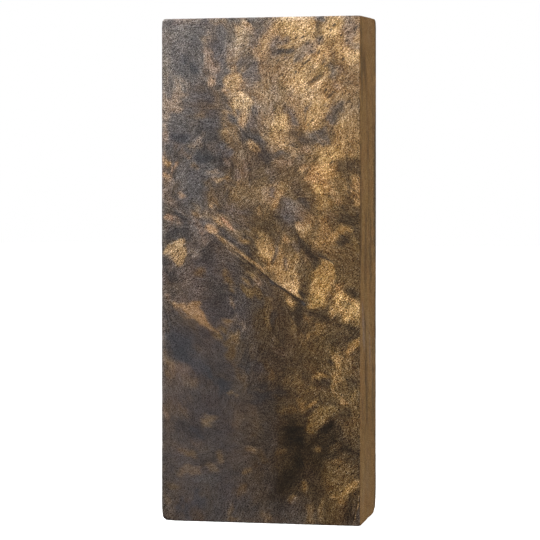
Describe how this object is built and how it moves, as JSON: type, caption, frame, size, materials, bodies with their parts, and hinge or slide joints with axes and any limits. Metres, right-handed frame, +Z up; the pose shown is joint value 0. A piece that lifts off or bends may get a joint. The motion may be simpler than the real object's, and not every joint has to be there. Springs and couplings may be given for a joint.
{
  "type": "stabilized walnut block",
  "caption": "Rectangular block of resin-stabilized walnut burl with marbled dark and golden figure, sawn flat and ready to be cut into handle scales or small turned work.",
  "frame": {"origin": "middle of the foot end's outline, on the surface that the block stands on", "axes": "+Z up along the block's length, -Y out of the figured broad face, +X out of the narrow side to its right"},
  "size_m": [0.051, 0.0254, 0.127],
  "materials": {
    "walnut": "bare resin-filled walnut burl, sanded to a soft satin, charcoal and dark brown marbled with gold and cream"
  },
  "bodies": {
    "root": {"walnut_block": "walnut"}
  },
  "joints": []
}
